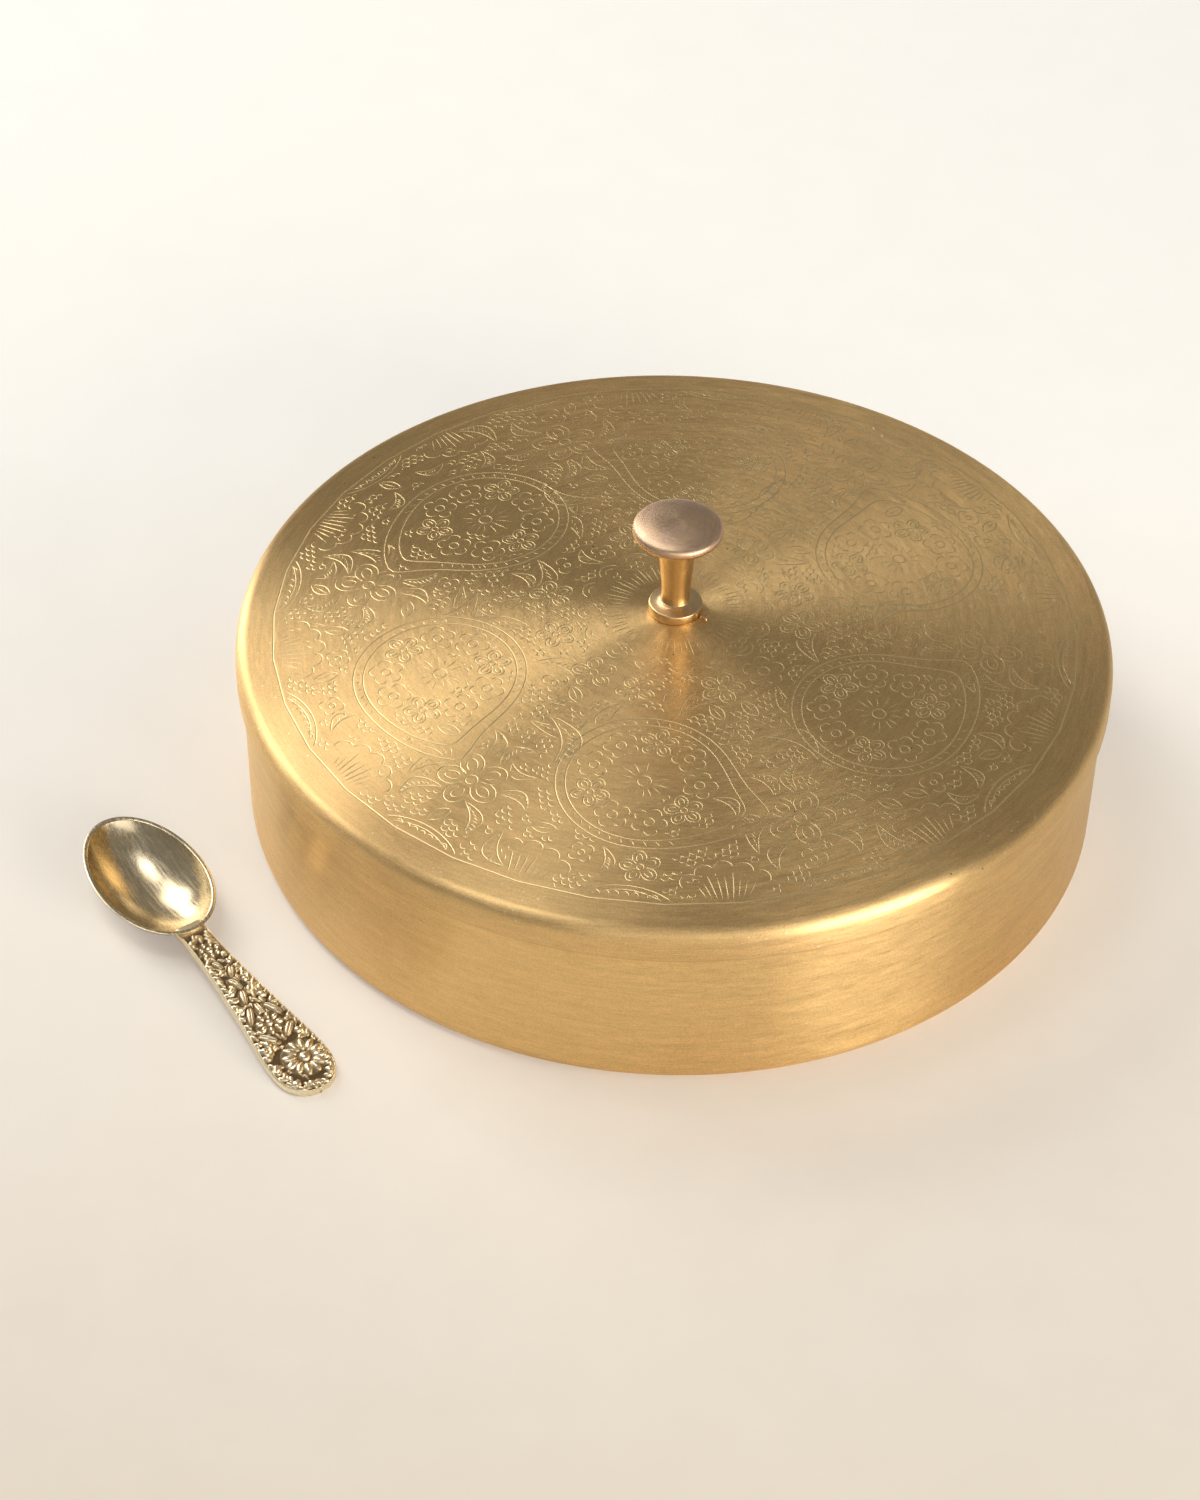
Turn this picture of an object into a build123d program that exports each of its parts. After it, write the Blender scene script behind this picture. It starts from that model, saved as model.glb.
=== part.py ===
# A round brass spice box: a shallow pan, a domed lid with a turned knob, seven loose
# spice cups inside and a small spoon lying beside it. Millimetres, +Z up.
# The origin is the centre of the pan's underside, and the spoon lies at the front left.
import os
from math import asin, cos, degrees, hypot, radians, sin, sqrt

from build123d import *

# Pan
pan_radius = 100.0  # outside, at the rim
pan_wall = 1.0
pan_draft = 0.6  # how much smaller the radius is at the base
pan_base_radius = 3.0  # outer rounding between wall and base

# Lid
lid_wall = 0.9
lid_clearance = 0.3  # between the lid and the pan's rim, all round it
lid_height = 46.0  # from the ground to where the dome would meet the skirt, were it sharp
lid_dome_rise = 6.5
lid_edge_radius = 3.5  # outer rounding between dome and skirt
lid_skirt = 7.5  # from that sharp corner down to the lower edge
nib_length = 2.1  # small upset nib in the lid that keeps the knob from turning
nib_width = 1.2
nib_height = 1.0
nib_bearing = -26.0  # degrees round the knob, from +X
nib_gap = 0.1  # between nib and knob foot

# Knob, measured up from the top of the dome
knob_height = 26.4
knob_foot_radius = 6.2
knob_foot_height = 2.4
knob_collar_rise = 1.3  # sloping top of the foot, up to the stem
knob_stem_radius = 3.3
knob_waist_radius = 3.8  # half way up the stem
knob_neck_radius = 4.9  # where the stem flares out under the head
knob_head_radius = 10.35
knob_rim_rounding = 1.5
knob_rim_drop = 3.1  # from the top of the head down to its widest part
knob_neck_drop = 5.8  # from the top of the head down to the neck

# Knob screw and its washer, under the lid
screw_radius = 2.0
screw_engagement = 9.0  # length of shank inside the knob
screw_head_radius = 3.8
screw_head_height = 2.4
screw_head_rounding = 0.8
screw_slot_width = 1.0
screw_slot_depth = 1.1
screw_tip_gap = 0.5
thread_clearance = 0.05
washer_radius = 5.2
washer_thickness = 0.8
washer_clearance = 0.15  # radial, round the screw and in the lid's hole

# Cups: one in the middle and six round it
ring_cups = 6
cup_gap = 0.6  # between cups, and between the outer cups and the pan
cup_wall = 0.8
cup_taper = 3.2  # how much smaller the radius is at the base than under the bead
cup_base_radius = 6.0  # outer rounding between wall and base
cup_bead_radius = 1.0  # rolled bead at the lip
spoon_room = 10.0  # depth left free above the cups, where the spoon is kept

# Spoon
spoon_x, spoon_y = -106.1, -64.1  # the neck, where bowl and handle meet
spoon_bearing = 127.2  # degrees from +X, from the neck towards the bowl
bowl_near = 19.2  # from the neck to the widest place
bowl_far = 21.3  # from the widest place to the far end
bowl_half_width = 13.0
bowl_depth = 7.3  # inside, below the rim
bowl_wall = 0.9
bowl_flat = 0.12  # how much of the bowl's underside is worn flat
handle_flat = 0.1  # how much of the handle's end is worn flat, underneath
handle_length = 53.8
handle_thickness = 2.4
handle_neck_width = 7.0
handle_waist_width = 7.8
handle_waist_at = 11.5  # from the neck
handle_end_width = 14.4
handle_end_at = 44.0  # from the neck, the widest place
handle_overlap = 4.0  # how far the handle runs into the bowl's wall
handle_camber = 0.5  # how far the handle bows up between neck and end
handle_step = 0.3  # how far the handle's face lies below the bowl's rim

# Worked-out places of the pan and lid
lid_radius = pan_radius + lid_clearance + lid_wall
lid_apex = lid_height + lid_dome_rise
dome_radius = (lid_radius**2 + lid_dome_rise**2) / (2 * lid_dome_rise)
dome_centre = lid_apex - dome_radius
edge_centre = dome_centre + sqrt(
    (dome_radius - lid_edge_radius) ** 2 - (lid_radius - lid_edge_radius) ** 2
)
lid_lower_edge = lid_height - lid_skirt
pan_rim = edge_centre + pan_wall / 2
pan_bore = pan_radius - pan_draft - pan_wall  # inner radius at the base
pan_floor = pan_wall

# Worked-out sizes of the cups
cup_radius = (pan_bore - 2 * cup_gap) / 3
cup_spacing = 2 * cup_radius + cup_gap
cup_top = pan_rim - spoon_room
cup_shoulder = cup_radius - 2 * cup_bead_radius + cup_wall  # outer radius under the bead
cup_base = cup_shoulder - cup_taper
cup_floor = pan_floor + cup_wall

lid_hole_radius = screw_radius + washer_clearance

# The bowl is the lower part of an egg that is round across, with its long axis above the rim
bowl_drop = bowl_depth + bowl_wall
egg_radius = (bowl_half_width**2 + bowl_drop**2) / (2 * bowl_drop)
egg_height = egg_radius - bowl_drop
egg_near = bowl_near * egg_radius / bowl_half_width
egg_far = bowl_far * egg_radius / bowl_half_width

# The spoon rests on its bowl and its handle's end, so it tilts. Each pass comes closer to it.
spoon_tilt = 0.0
for _ in range(6):
    bowl_reach = hypot(egg_near * sin(spoon_tilt), egg_radius * cos(spoon_tilt))
    spoon_drop = bowl_reach - bowl_flat + handle_flat - egg_height * cos(spoon_tilt)
    spoon_drop -= (handle_thickness + handle_step) * cos(spoon_tilt)
    spoon_tilt = asin(spoon_drop / (bowl_near + handle_length))


def dome_drop(radius):
    """How far a sphere of the dome's radius falls between its top and that radius."""
    return dome_radius - sqrt(dome_radius**2 - radius**2)


def turned(profile):
    """A solid of revolution about Z, from a face drawn in the XZ plane."""
    return revolve(profile, Axis.Z, 360)


def tapered_wall(top_radius, top, foot_radius, foot, rounding):
    """The filled half-section of a round vessel: its wall, base and rounded corner."""
    section = Polyline((0, foot), (foot_radius, foot), (top_radius, top), (0, top), close=True)
    face = make_face(Plane.XZ * section)
    corner = [v for v in face.vertices() if v.X > foot_radius / 2 and v.Z < (foot + top) / 2]
    return fillet(corner, rounding)


def pan():
    """The pan, spun from one sheet, with the rim rounded over its whole thickness."""
    rim_radius = pan_wall / 2
    wall_top = pan_rim - rim_radius
    outside = tapered_wall(pan_radius, wall_top, pan_radius - pan_draft, 0, pan_base_radius)
    inside = tapered_wall(
        pan_radius - pan_wall, wall_top, pan_bore, pan_floor, pan_base_radius - pan_wall
    )
    rim = make_face(
        Plane.XZ
        * (
            ThreePointArc(
                (pan_radius, wall_top),
                (pan_radius - rim_radius, pan_rim),
                (pan_radius - pan_wall, wall_top),
            )
            + Line((pan_radius - pan_wall, wall_top), (pan_radius, wall_top))
        )
    )
    return turned(outside - inside + rim)


def dome_section(radius, sphere, rounding):
    """The filled half-section of the lid inside one of its two skins."""
    corner = dome_centre + sqrt(sphere**2 - radius**2)
    middle = radius / 2
    outline = (
        ThreePointArc(
            (0, dome_centre + sphere),
            (middle, dome_centre + sqrt(sphere**2 - middle**2)),
            (radius, corner),
        )
        + Line((radius, corner), (radius, lid_lower_edge))
        + Line((radius, lid_lower_edge), (0, lid_lower_edge))
        + Line((0, lid_lower_edge), (0, dome_centre + sphere))
    )
    face = make_face(Plane.XZ * outline)
    edge = [v for v in face.vertices() if v.X > radius / 2 and v.Z > corner - rounding]
    return fillet(edge, rounding)


def nib():
    """The nib beside the knob's foot, rooted in the lid's sheet."""
    inner_end = knob_foot_radius + nib_gap
    root = lid_wall / 2
    middle = inner_end + nib_length / 2
    block = Box(nib_length, nib_width, nib_height + root)
    level = lid_apex - dome_drop(middle) - root
    block = Pos(middle, 0, level + (nib_height + root) / 2) * block
    return Rot(0, 0, nib_bearing) * block


def lid():
    """The lid, a domed disc with a rounded edge and a short skirt that goes over the pan."""
    outside = dome_section(lid_radius, dome_radius, lid_edge_radius)
    inside = dome_section(
        lid_radius - lid_wall, dome_radius - lid_wall, lid_edge_radius - lid_wall
    )
    shell = turned(outside - inside)
    hole = Pos(0, 0, lid_apex) * Cylinder(lid_hole_radius, 2 * lid_dome_rise)
    return shell + nib() - hole


def knob():
    """The knob, turned in one piece: foot, flared stem and mushroom head."""
    rim_height = knob_height - knob_rim_drop
    neck_height = knob_height - knob_neck_drop
    stem_start = knob_foot_height + knob_collar_rise
    waist = (stem_start + neck_height) / 2
    corner = knob_rim_rounding * cos(radians(45))
    rim_end = knob_head_radius - knob_rim_rounding + corner
    rim_top = rim_height + corner
    rim_bottom = rim_height - corner
    cap_rise = knob_height - rim_top
    cap_radius = (rim_end**2 + cap_rise**2) / (2 * cap_rise)
    half_way = rim_end / 2
    cap_middle = knob_height - cap_radius + sqrt(cap_radius**2 - half_way**2)
    outline = (
        Polyline((0, 0), (knob_foot_radius, 0), (knob_foot_radius, knob_foot_height))
        + Spline(
            (knob_foot_radius, knob_foot_height),
            (knob_stem_radius + 0.9, knob_foot_height + 0.35 * knob_collar_rise),
            (knob_stem_radius, stem_start),
            tangents=((-1, 0.1), (0, 1)),
        )
        + Spline(
            (knob_stem_radius, stem_start),
            (knob_waist_radius, waist),
            (knob_neck_radius, neck_height),
            tangents=((0, 1), (0.5, 1)),
        )
        + Line((knob_neck_radius, neck_height), (rim_end, rim_bottom))
        + ThreePointArc(
            (rim_end, rim_bottom), (knob_head_radius, rim_height), (rim_end, rim_top)
        )
        + ThreePointArc((rim_end, rim_top), (half_way, cap_middle), (0, knob_height))
        + Line((0, knob_height), (0, 0))
    )
    body = turned(make_face(Plane.XZ * outline))
    depth = screw_engagement + screw_tip_gap
    bore = Pos(0, 0, depth / 2) * Cylinder(screw_radius + thread_clearance, depth)
    return Pos(0, 0, lid_apex) * (body - bore)


def washer_top():
    """The height at which the washer's edge meets the underside of the dome."""
    sphere = dome_radius - lid_wall
    return dome_centre + sqrt(sphere**2 - washer_radius**2)


def washer():
    """The flat washer between the lid and the screw's head."""
    ring = Cylinder(washer_radius, washer_thickness) - Cylinder(lid_hole_radius, washer_thickness)
    return Pos(0, 0, washer_top() - washer_thickness / 2) * ring


def screw():
    """The round-headed, slotted screw that holds the knob from below."""
    seat = washer_top() - washer_thickness
    shank_length = lid_apex + screw_engagement - seat
    shank = Pos(0, 0, seat + shank_length / 2) * Cylinder(screw_radius, shank_length)
    head = Pos(0, 0, seat - screw_head_height / 2) * Cylinder(screw_head_radius, screw_head_height)
    head = fillet(head.edges().group_by(Axis.Z)[0], screw_head_rounding)
    slot = Pos(0, 0, seat - screw_head_height + screw_slot_depth / 2) * Box(
        3 * screw_head_radius, screw_slot_width, screw_slot_depth
    )
    return shank + head - slot


def cup():
    """One spice cup, with a rounded base, a slight taper and a rolled bead at the lip."""
    bead_height = cup_top - cup_bead_radius
    outside = tapered_wall(cup_shoulder, bead_height, cup_base, pan_floor, cup_base_radius)
    inside = tapered_wall(
        cup_shoulder - cup_wall,
        bead_height,
        cup_base - cup_wall,
        cup_floor,
        cup_base_radius - cup_wall,
    )
    bead = Plane.XZ * Pos(cup_radius - cup_bead_radius, bead_height) * Circle(cup_bead_radius)
    return turned(outside - inside + bead)


def cup_places():
    """Each cup's name and the place of its axis."""
    yield "cup_middle", (0.0, 0.0)
    for number in range(ring_cups):
        bearing = radians(number * 360 / ring_cups)
        yield f"cup_{number + 1}", (cup_spacing * cos(bearing), cup_spacing * sin(bearing))


def egg(wall):
    """The egg whose lower part is the bowl, or its hollow when drawn in by the wall."""
    near, far, radius = egg_near - wall, egg_far - wall, egg_radius - wall
    outline = (
        EllipticalCenterArc((0, 0), near, radius, 90, arc_size=90)
        + EllipticalCenterArc((0, 0), far, radius, 0, arc_size=90)
        + Line((-near, 0), (far, 0))
    )
    whole = revolve(make_face(Plane.XZ * outline), Axis.X, 360)
    return Pos(bowl_near, 0, egg_height) * whole


def handle():
    """The handle along -X from the neck: a slightly bowed band, cut to its outline."""
    start, end = handle_overlap, -handle_length
    middle = (start + end) / 2
    band = (
        ThreePointArc((start, 0), (middle, handle_camber), (end, 0))
        + Line((end, 0), (end, -handle_thickness))
        + ThreePointArc(
            (end, -handle_thickness),
            (middle, handle_camber - handle_thickness),
            (start, -handle_thickness),
        )
        + Line((start, -handle_thickness), (start, 0))
    )
    side = extrude(make_face(Plane.XZ * band), handle_end_width, both=True)
    half_neck = handle_neck_width / 2
    half_waist = handle_waist_width / 2
    half_end = handle_end_width / 2
    neck = Line((start, half_neck), (-handle_waist_at, half_waist))
    flare = Spline(
        (-handle_waist_at, half_waist),
        (-(handle_waist_at + handle_end_at) / 2, (half_waist + half_end) / 2),
        (-handle_end_at, half_end),
        tangents=((-1, 0.08), (-1, 0)),
    )
    tip = ThreePointArc(
        (-handle_end_at, half_end), (-handle_length, 0), (-handle_end_at, -half_end)
    )
    outline = neck + flare + tip + mirror(flare, Plane.XZ) + mirror(neck, Plane.XZ)
    outline += Line((start, -half_neck), (start, half_neck))
    seen_from_above = extrude(make_face(outline), 3 * handle_thickness, both=True)
    return Pos(0, 0, -handle_step) * (side & seen_from_above)


def spoon():
    """The spoon, cast in one piece and tilted until it rests on the ground at both ends."""
    room = bowl_near + bowl_far
    below_rim = Pos(room / 2, 0, -room / 2) * Box(2 * room, 2 * room, room)
    hollow = egg(bowl_wall)
    bowl = (egg(0) & below_rim) - hollow
    whole = bowl + (handle() - hollow)
    level = (
        bowl_reach - bowl_flat - egg_height * cos(spoon_tilt) - bowl_near * sin(spoon_tilt)
    )
    length = bowl_near + bowl_far + handle_length
    ground = Pos(0, 0, length) * Box(2 * length, 2 * length, 2 * length)
    settled = (Pos(0, 0, level) * Rot(0, -degrees(spoon_tilt), 0) * whole) & ground
    return Pos(spoon_x, spoon_y, 0) * Rot(0, 0, spoon_bearing) * settled


def main():
    os.makedirs("parts", exist_ok=True)
    pieces = {
        "pan": pan(),
        "lid": lid(),
        "knob": knob(),
        "knob_washer": washer(),
        "knob_screw": screw(),
        "spoon": spoon(),
    }
    one_cup = cup()
    for name, (x, y) in cup_places():
        pieces[name] = Pos(x, y, 0) * one_cup
    for name, shape in pieces.items():
        export_step(shape, f"parts/{name}.step")
        print(name, "solids", len(shape.solids()), "volume", round(shape.volume, 1))


main()
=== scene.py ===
import random
from math import acos, asin, atan2, cos, degrees, hypot, pi, radians, sin, sqrt

import bpy
import numpy as np
from mathutils import Matrix, Vector
from mathutils.geometry import delaunay_2d_cdt
from mathutils.kdtree import KDTree


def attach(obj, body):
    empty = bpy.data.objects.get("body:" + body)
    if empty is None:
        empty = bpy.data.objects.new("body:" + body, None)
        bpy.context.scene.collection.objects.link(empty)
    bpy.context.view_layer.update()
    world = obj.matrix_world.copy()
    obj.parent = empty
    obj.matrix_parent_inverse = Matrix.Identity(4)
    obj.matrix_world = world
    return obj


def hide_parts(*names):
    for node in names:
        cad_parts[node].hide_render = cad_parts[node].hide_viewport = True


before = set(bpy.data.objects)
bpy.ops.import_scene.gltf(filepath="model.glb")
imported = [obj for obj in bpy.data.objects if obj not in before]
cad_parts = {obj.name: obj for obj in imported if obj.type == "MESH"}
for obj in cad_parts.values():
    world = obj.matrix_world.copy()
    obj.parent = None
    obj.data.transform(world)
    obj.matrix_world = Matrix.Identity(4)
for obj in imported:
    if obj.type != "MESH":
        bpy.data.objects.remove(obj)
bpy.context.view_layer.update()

MM = 0.001
TAU = 2 * pi

# Sizes in millimetres, the same as the CAD model's
PAN_RADIUS, PAN_FOOT_RADIUS, PAN_WALL, PAN_CORNER, PAN_RIM = 100.0, 99.4, 1.0, 3.0, 43.4
LID_RADIUS, LID_WALL, LID_EDGE, LID_HOLE = 101.2, 0.9, 3.5, 2.15
LID_HEIGHT, LID_RISE, LID_SKIRT = 46.0, 6.5, 7.5
LID_APEX = LID_HEIGHT + LID_RISE
LID_BOTTOM = LID_HEIGHT - LID_SKIRT
DOME = (LID_RADIUS**2 + LID_RISE**2) / (2 * LID_RISE)
DOME_CENTRE = LID_APEX - DOME
CUP_RADIUS, CUP_SPACING, CUP_TOP, CUP_WALL, CUP_CORNER = 32.4, 65.4, 33.42, 0.8, 6.0
CUP_BEAD, CUP_TAPER = 1.0, 3.2
SPOON_AT, SPOON_BEARING = (-106.1, -64.1), radians(127.2)
BOWL_NEAR, BOWL_FAR, BOWL_HALF, BOWL_DROP, BOWL_WALL, BOWL_WORN = 19.2, 21.3, 13.0, 8.2, 0.9, 0.12
HANDLE_LENGTH, HANDLE_THICK, HANDLE_STEP, HANDLE_WORN, HANDLE_CAMBER = 53.8, 2.4, 0.3, 0.1, 0.5

# Fineness of the meshes
LARGE_STEPS, SMALL_STEPS, HOLE_STEPS = 360, 160, 24
NEAR_AXIS = 0.01  # the radius at which a closed profile stops


def dome_height(r):
    """Height of the lid's outer skin at radius r, in millimetres."""
    return DOME_CENTRE + np.sqrt(DOME**2 - np.square(r))


def rotated(x, y, angle):
    c, s = cos(angle), sin(angle)
    return x * c - y * s, x * s + y * c


# Materials
SPREAD = (0.3, 0.7)  # most of a noise's values lie between these


def node(tree, kind, values=None, **props):
    """One shader node. A value that is a socket is linked, and any other is set."""
    made = tree.nodes.new("ShaderNode" + kind)
    for key, value in props.items():
        setattr(made, key, value)
    for key, value in (values or {}).items():
        if isinstance(value, bpy.types.NodeSocket):
            tree.links.new(value, made.inputs[key])
        else:
            made.inputs[key].default_value = value
    return made


# Each function from here to bump adds its node to the tree of the socket that it is given


def maths(operation, a, b=0.0, c=0.0):
    return node(a.id_data, "Math", {0: a, 1: b, 2: c}, operation=operation).outputs[0]


def plus(a, b):
    return maths("ADD", a, b)


def times(a, b):
    return maths("MULTIPLY", a, b)


def scale_vector(vector, factor):
    """A position or a colour, times a number."""
    values = {0: vector, "Scale": factor}
    return node(vector.id_data, "VectorMath", values, operation="SCALE").outputs[0]


def remap(value, old, new=(0.0, 1.0)):
    """value, clamped to the old range and stretched to the new one."""
    values = {0: value, 1: old[0], 2: old[1], 3: new[0], 4: new[1]}
    return node(value.id_data, "MapRange", values).outputs[0]


def blend_colour(factor, a, b):
    return node(factor.id_data, "Mix", {0: factor, 6: a, 7: b}, data_type="RGBA").outputs[2]


def noise(vector, scale, detail=2.0, roughness=0.5, w=None):
    values = {"Vector": vector, "Scale": scale, "Detail": detail, "Roughness": roughness}
    if w is not None:
        values["W"] = w
    dims = "3D" if w is None else "4D"
    return node(vector.id_data, "TexNoise", values, noise_dimensions=dims).outputs["Fac"]


def dots(place, scale, edge):
    """Round dots scattered at that scale, 1 inside and 0 past their soft edge."""
    values = {"Vector": place, "Scale": scale, "Randomness": 1.0}
    distance = node(place.id_data, "TexVoronoi", values).outputs["Distance"]
    return remap(distance, edge, (1.0, 0.0))


def bump(height):
    """A bump normal from a height in millimetres."""
    values = {"Strength": 1.0, "Distance": MM, "Height": height}
    return node(height.id_data, "Bump", values).outputs[0]


def object_place(tree):
    return node(tree, "TexCoord").outputs["Object"]


def millimetres(tree):
    return scale_vector(object_place(tree), 1 / MM)


def new_material(name):
    made = bpy.data.materials.new(name)
    made.use_nodes = True
    made.node_tree.nodes.clear()
    return made, made.node_tree


def finish_material(colour, roughness, values=None):
    """The brass shader itself, with any other inputs it takes in values."""
    inputs = {"Metallic": 1.0, "Base Color": colour, "Roughness": roughness, **(values or {})}
    shader = node(colour.id_data, "BsdfPrincipled", inputs)
    node(colour.id_data, "OutputMaterial", {0: shader.outputs[0]})


def round_coordinates(tree):
    """The position in millimetres, plain and as (radius, unit x, unit y, height)."""
    place = millimetres(tree)
    split = node(tree, "SeparateXYZ", {0: place})
    x, y, height = split.outputs[:3]
    squared = plus(times(x, x), times(y, y))
    radius = maths("MAXIMUM", maths("SQRT", squared), 0.01)
    return place, (radius, maths("DIVIDE", x, radius), maths("DIVIDE", y, radius), height)


def ring_noise(round_place, across, around, detail=2.0):
    """Noise drawn out into rings round the axis: fine across them and slow around them."""
    radius, unit_x, unit_y, height = round_place
    axes = zip((radius, unit_x, unit_y), (across, around, around))
    values = {i: times(axis, scale) for i, (axis, scale) in enumerate(axes)}
    vector = node(radius.id_data, "CombineXYZ", values).outputs[0]
    return noise(vector, 1.0, detail, 0.6, w=times(height, across))


def add_specks(place, colour, amount):
    """The colour with small bright specks in patches and a few dark pits."""
    patches = remap(noise(place, 0.05, 2.0), (0.48, 0.62))
    bright = times(dots(place, 0.42, (0.07, 0.13)), patches)
    colour = blend_colour(times(bright, amount), colour, (0.98, 0.9, 0.72, 1.0))
    pits = times(dots(place, 0.13, (0.022, 0.04)), 0.7)
    return blend_colour(pits, colour, (0.12, 0.06, 0.03, 1.0))


def brushed_brass(name, base, warm, specks=0.0, rough=(0.34, 0.46), aniso=0.85, skirt_shadow_from=None):
    """Brass brushed in circles, so that its highlights fan out from the axis.

    warm is the colour of its stains. The last argument gives the height of a thin line of painted
    shade round it, the shadow under the lid's skirt.
    """
    made, tree = new_material(name)
    place, round_place = round_coordinates(tree)
    height = round_place[3]
    fine = ring_noise(round_place, across=3.1, around=26.0, detail=3.0)
    broad = ring_noise(round_place, across=0.7, around=7.0)
    streak = plus(times(fine, 0.6), times(broad, 0.4))
    patches = remap(noise(place, 0.11, 3.0, 0.6), (0.35, 0.65), (0.4, 1.0))
    stain = times(remap(noise(place, 0.022, 4.0, 0.6), (0.5, 0.68)), patches)
    colour = blend_colour(times(stain, 0.25), base, warm)
    grain = remap(noise(place, 2.6, 2.0, 0.7), (0.25, 0.75), (0.84, 1.16))
    shade = times(remap(streak, SPREAD, (0.8, 1.12)), grain)
    # Painted shade: a thin dark line round the wall just under the lid's skirt, where the gap below
    # the skirt lies in shadow
    if skirt_shadow_from:
        line = remap(height, (skirt_shadow_from, skirt_shadow_from + 1.1), (1.0, 0.42))
        above = remap(height, (skirt_shadow_from + 2.0, skirt_shadow_from + 3.5), (0.0, 0.4))
        shade = times(shade, plus(line, above))
    if specks:
        colour = add_specks(place, colour, specks)
    roughness = plus(remap(streak, SPREAD, rough), times(stain, 0.05))
    relief = plus(times(fine, 0.012), times(noise(place, 0.03, 1.0), 0.5))
    tangent = node(tree, "Tangent", direction_type="RADIAL", axis="Z").outputs[0]
    inputs = {"Anisotropic": aniso, "Anisotropic Rotation": 0.25, "Tangent": tangent}
    inputs["Normal"] = bump(relief)
    finish_material(scale_vector(colour, shade), roughness, inputs)
    return made


def engraved_brass():
    """The walls of the cut lines, brighter and less brushed than the sheet."""
    made, tree = new_material("engraved brass")
    grain = noise(millimetres(tree), 2.2, 3.0)
    colour = blend_colour(grain, (0.9, 0.72, 0.4, 1.0), (0.8, 0.58, 0.27, 1.0))
    finish_material(colour, remap(grain, SPREAD, (0.3, 0.44)))
    return made


def turned_brass(name, base, warm, warm_height, rough):
    """Brass turned on a lathe. Over warm_height it changes to the handled, duller colour."""
    made, tree = new_material(name)
    place, round_place = round_coordinates(tree)
    rings = ring_noise(round_place, across=4.0, around=5.0, detail=3.0)
    patches = remap(noise(place, 0.35, 4.0, 0.6), SPREAD, (0.55, 1.0))
    worn = times(remap(round_place[3], warm_height), patches)
    colour = blend_colour(worn, base, warm)
    colour = scale_vector(colour, remap(rings, SPREAD, (0.88, 1.08)))
    roughness = plus(remap(rings, SPREAD, rough), times(worn, 0.14))
    inputs = {"Anisotropic": 0.3, "Normal": bump(times(rings, 0.004))}
    finish_material(colour, roughness, inputs)
    return made


def bowl_brass():
    """The spoon's polished bowl, with scratches along it."""
    made, tree = new_material("spoon bowl brass")
    place = object_place(tree)
    values = {"Vector": place, "Rotation": (0.0, 0.0, -SPOON_BEARING)}
    lined_up = node(tree, "Mapping", values).outputs[0]
    values = {"Vector": lined_up, "Scale": (60.0, 1700.0, 900.0)}
    drawn_out = node(tree, "Mapping", values).outputs[0]
    scratch = noise(drawn_out, 1.0, 4.0, 0.65)
    cloud_cover = remap(noise(place, 90.0, 3.0), (0.35, 0.65))
    colour = blend_colour(cloud_cover, (0.76, 0.66, 0.47, 1.0), (0.66, 0.53, 0.33, 1.0))
    colour = scale_vector(colour, remap(scratch, SPREAD, (0.82, 1.08)))
    roughness = remap(scratch, (0.3, 0.75), (0.16, 0.36))
    finish_material(colour, roughness, {"Normal": bump(times(scratch, 0.02))})
    return made


# The cast handle's colours, from its deepest hollows to its tops, by height in the relief
CAST_TONES = (
    (0.02, (0.16, 0.11, 0.06, 1)),
    (0.25, (0.42, 0.31, 0.18, 1)),
    (0.55, (0.8, 0.67, 0.43, 1)),
    (0.85, (0.96, 0.88, 0.7, 1)),
)


def cast_brass():
    """The spoon's cast handle: bright where it stands up and dark in its hollows."""
    made, tree = new_material("spoon handle brass")
    relief = node(tree, "Attribute", attribute_name="relief").outputs["Fac"]
    grain = noise(object_place(tree), 1400.0, 3.0)
    height = plus(relief, times(maths("SUBTRACT", grain, 0.5), 0.25))
    ramp = node(tree, "ValToRGB", {"Fac": height})
    tones = ramp.color_ramp.elements
    for tone, (position, colour) in zip(tones, (CAST_TONES[0], CAST_TONES[-1])):
        tone.position, tone.color = position, colour
    for position, colour in CAST_TONES[1:-1]:
        tones.new(position).color = colour
    roughness = remap(height, (0.1, 0.9), (0.55, 0.22))
    finish_material(ramp.outputs[0], roughness, {"Normal": bump(times(grain, 0.05))})
    return made


BRUSHED = brushed_brass(
    "brushed brass", base=(0.87, 0.6, 0.275, 1.0), warm=(0.64, 0.36, 0.16, 1.0), specks=0.8
)
WALL = brushed_brass(
    "brushed brass wall",
    base=(0.87, 0.605, 0.275, 1.0),
    warm=(0.68, 0.36, 0.16, 1.0),
    rough=(0.26, 0.38),
    # The painted shadow under the lid's skirt starts 1.5 mm below the skirt's edge
    skirt_shadow_from=LID_BOTTOM - 1.5,
)
ENGRAVED = engraved_brass()
KNOB = turned_brass(
    "knob brass",
    base=(0.72, 0.52, 0.28, 1.0),
    warm=(0.64, 0.45, 0.33, 1.0),
    warm_height=(71.0, 75.0),
    rough=(0.27, 0.38),
)
CUP = brushed_brass(
    "cup brass",
    base=(0.84, 0.64, 0.34, 1.0),
    warm=(0.6, 0.38, 0.2, 1.0),
    rough=(0.26, 0.36),
    aniso=0.5,
)
FIXING = turned_brass(
    "fixing brass",
    base=(0.7, 0.5, 0.24, 1.0),
    warm=(0.6, 0.42, 0.24, 1.0),
    warm_height=(40.0, 90.0),
    rough=(0.3, 0.42),
)
BOWL = bowl_brass()
CAST = cast_brass()


# Meshes


def add_object(name, data):
    made = bpy.data.objects.new(name, data)
    bpy.context.scene.collection.objects.link(made)
    return made


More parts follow.
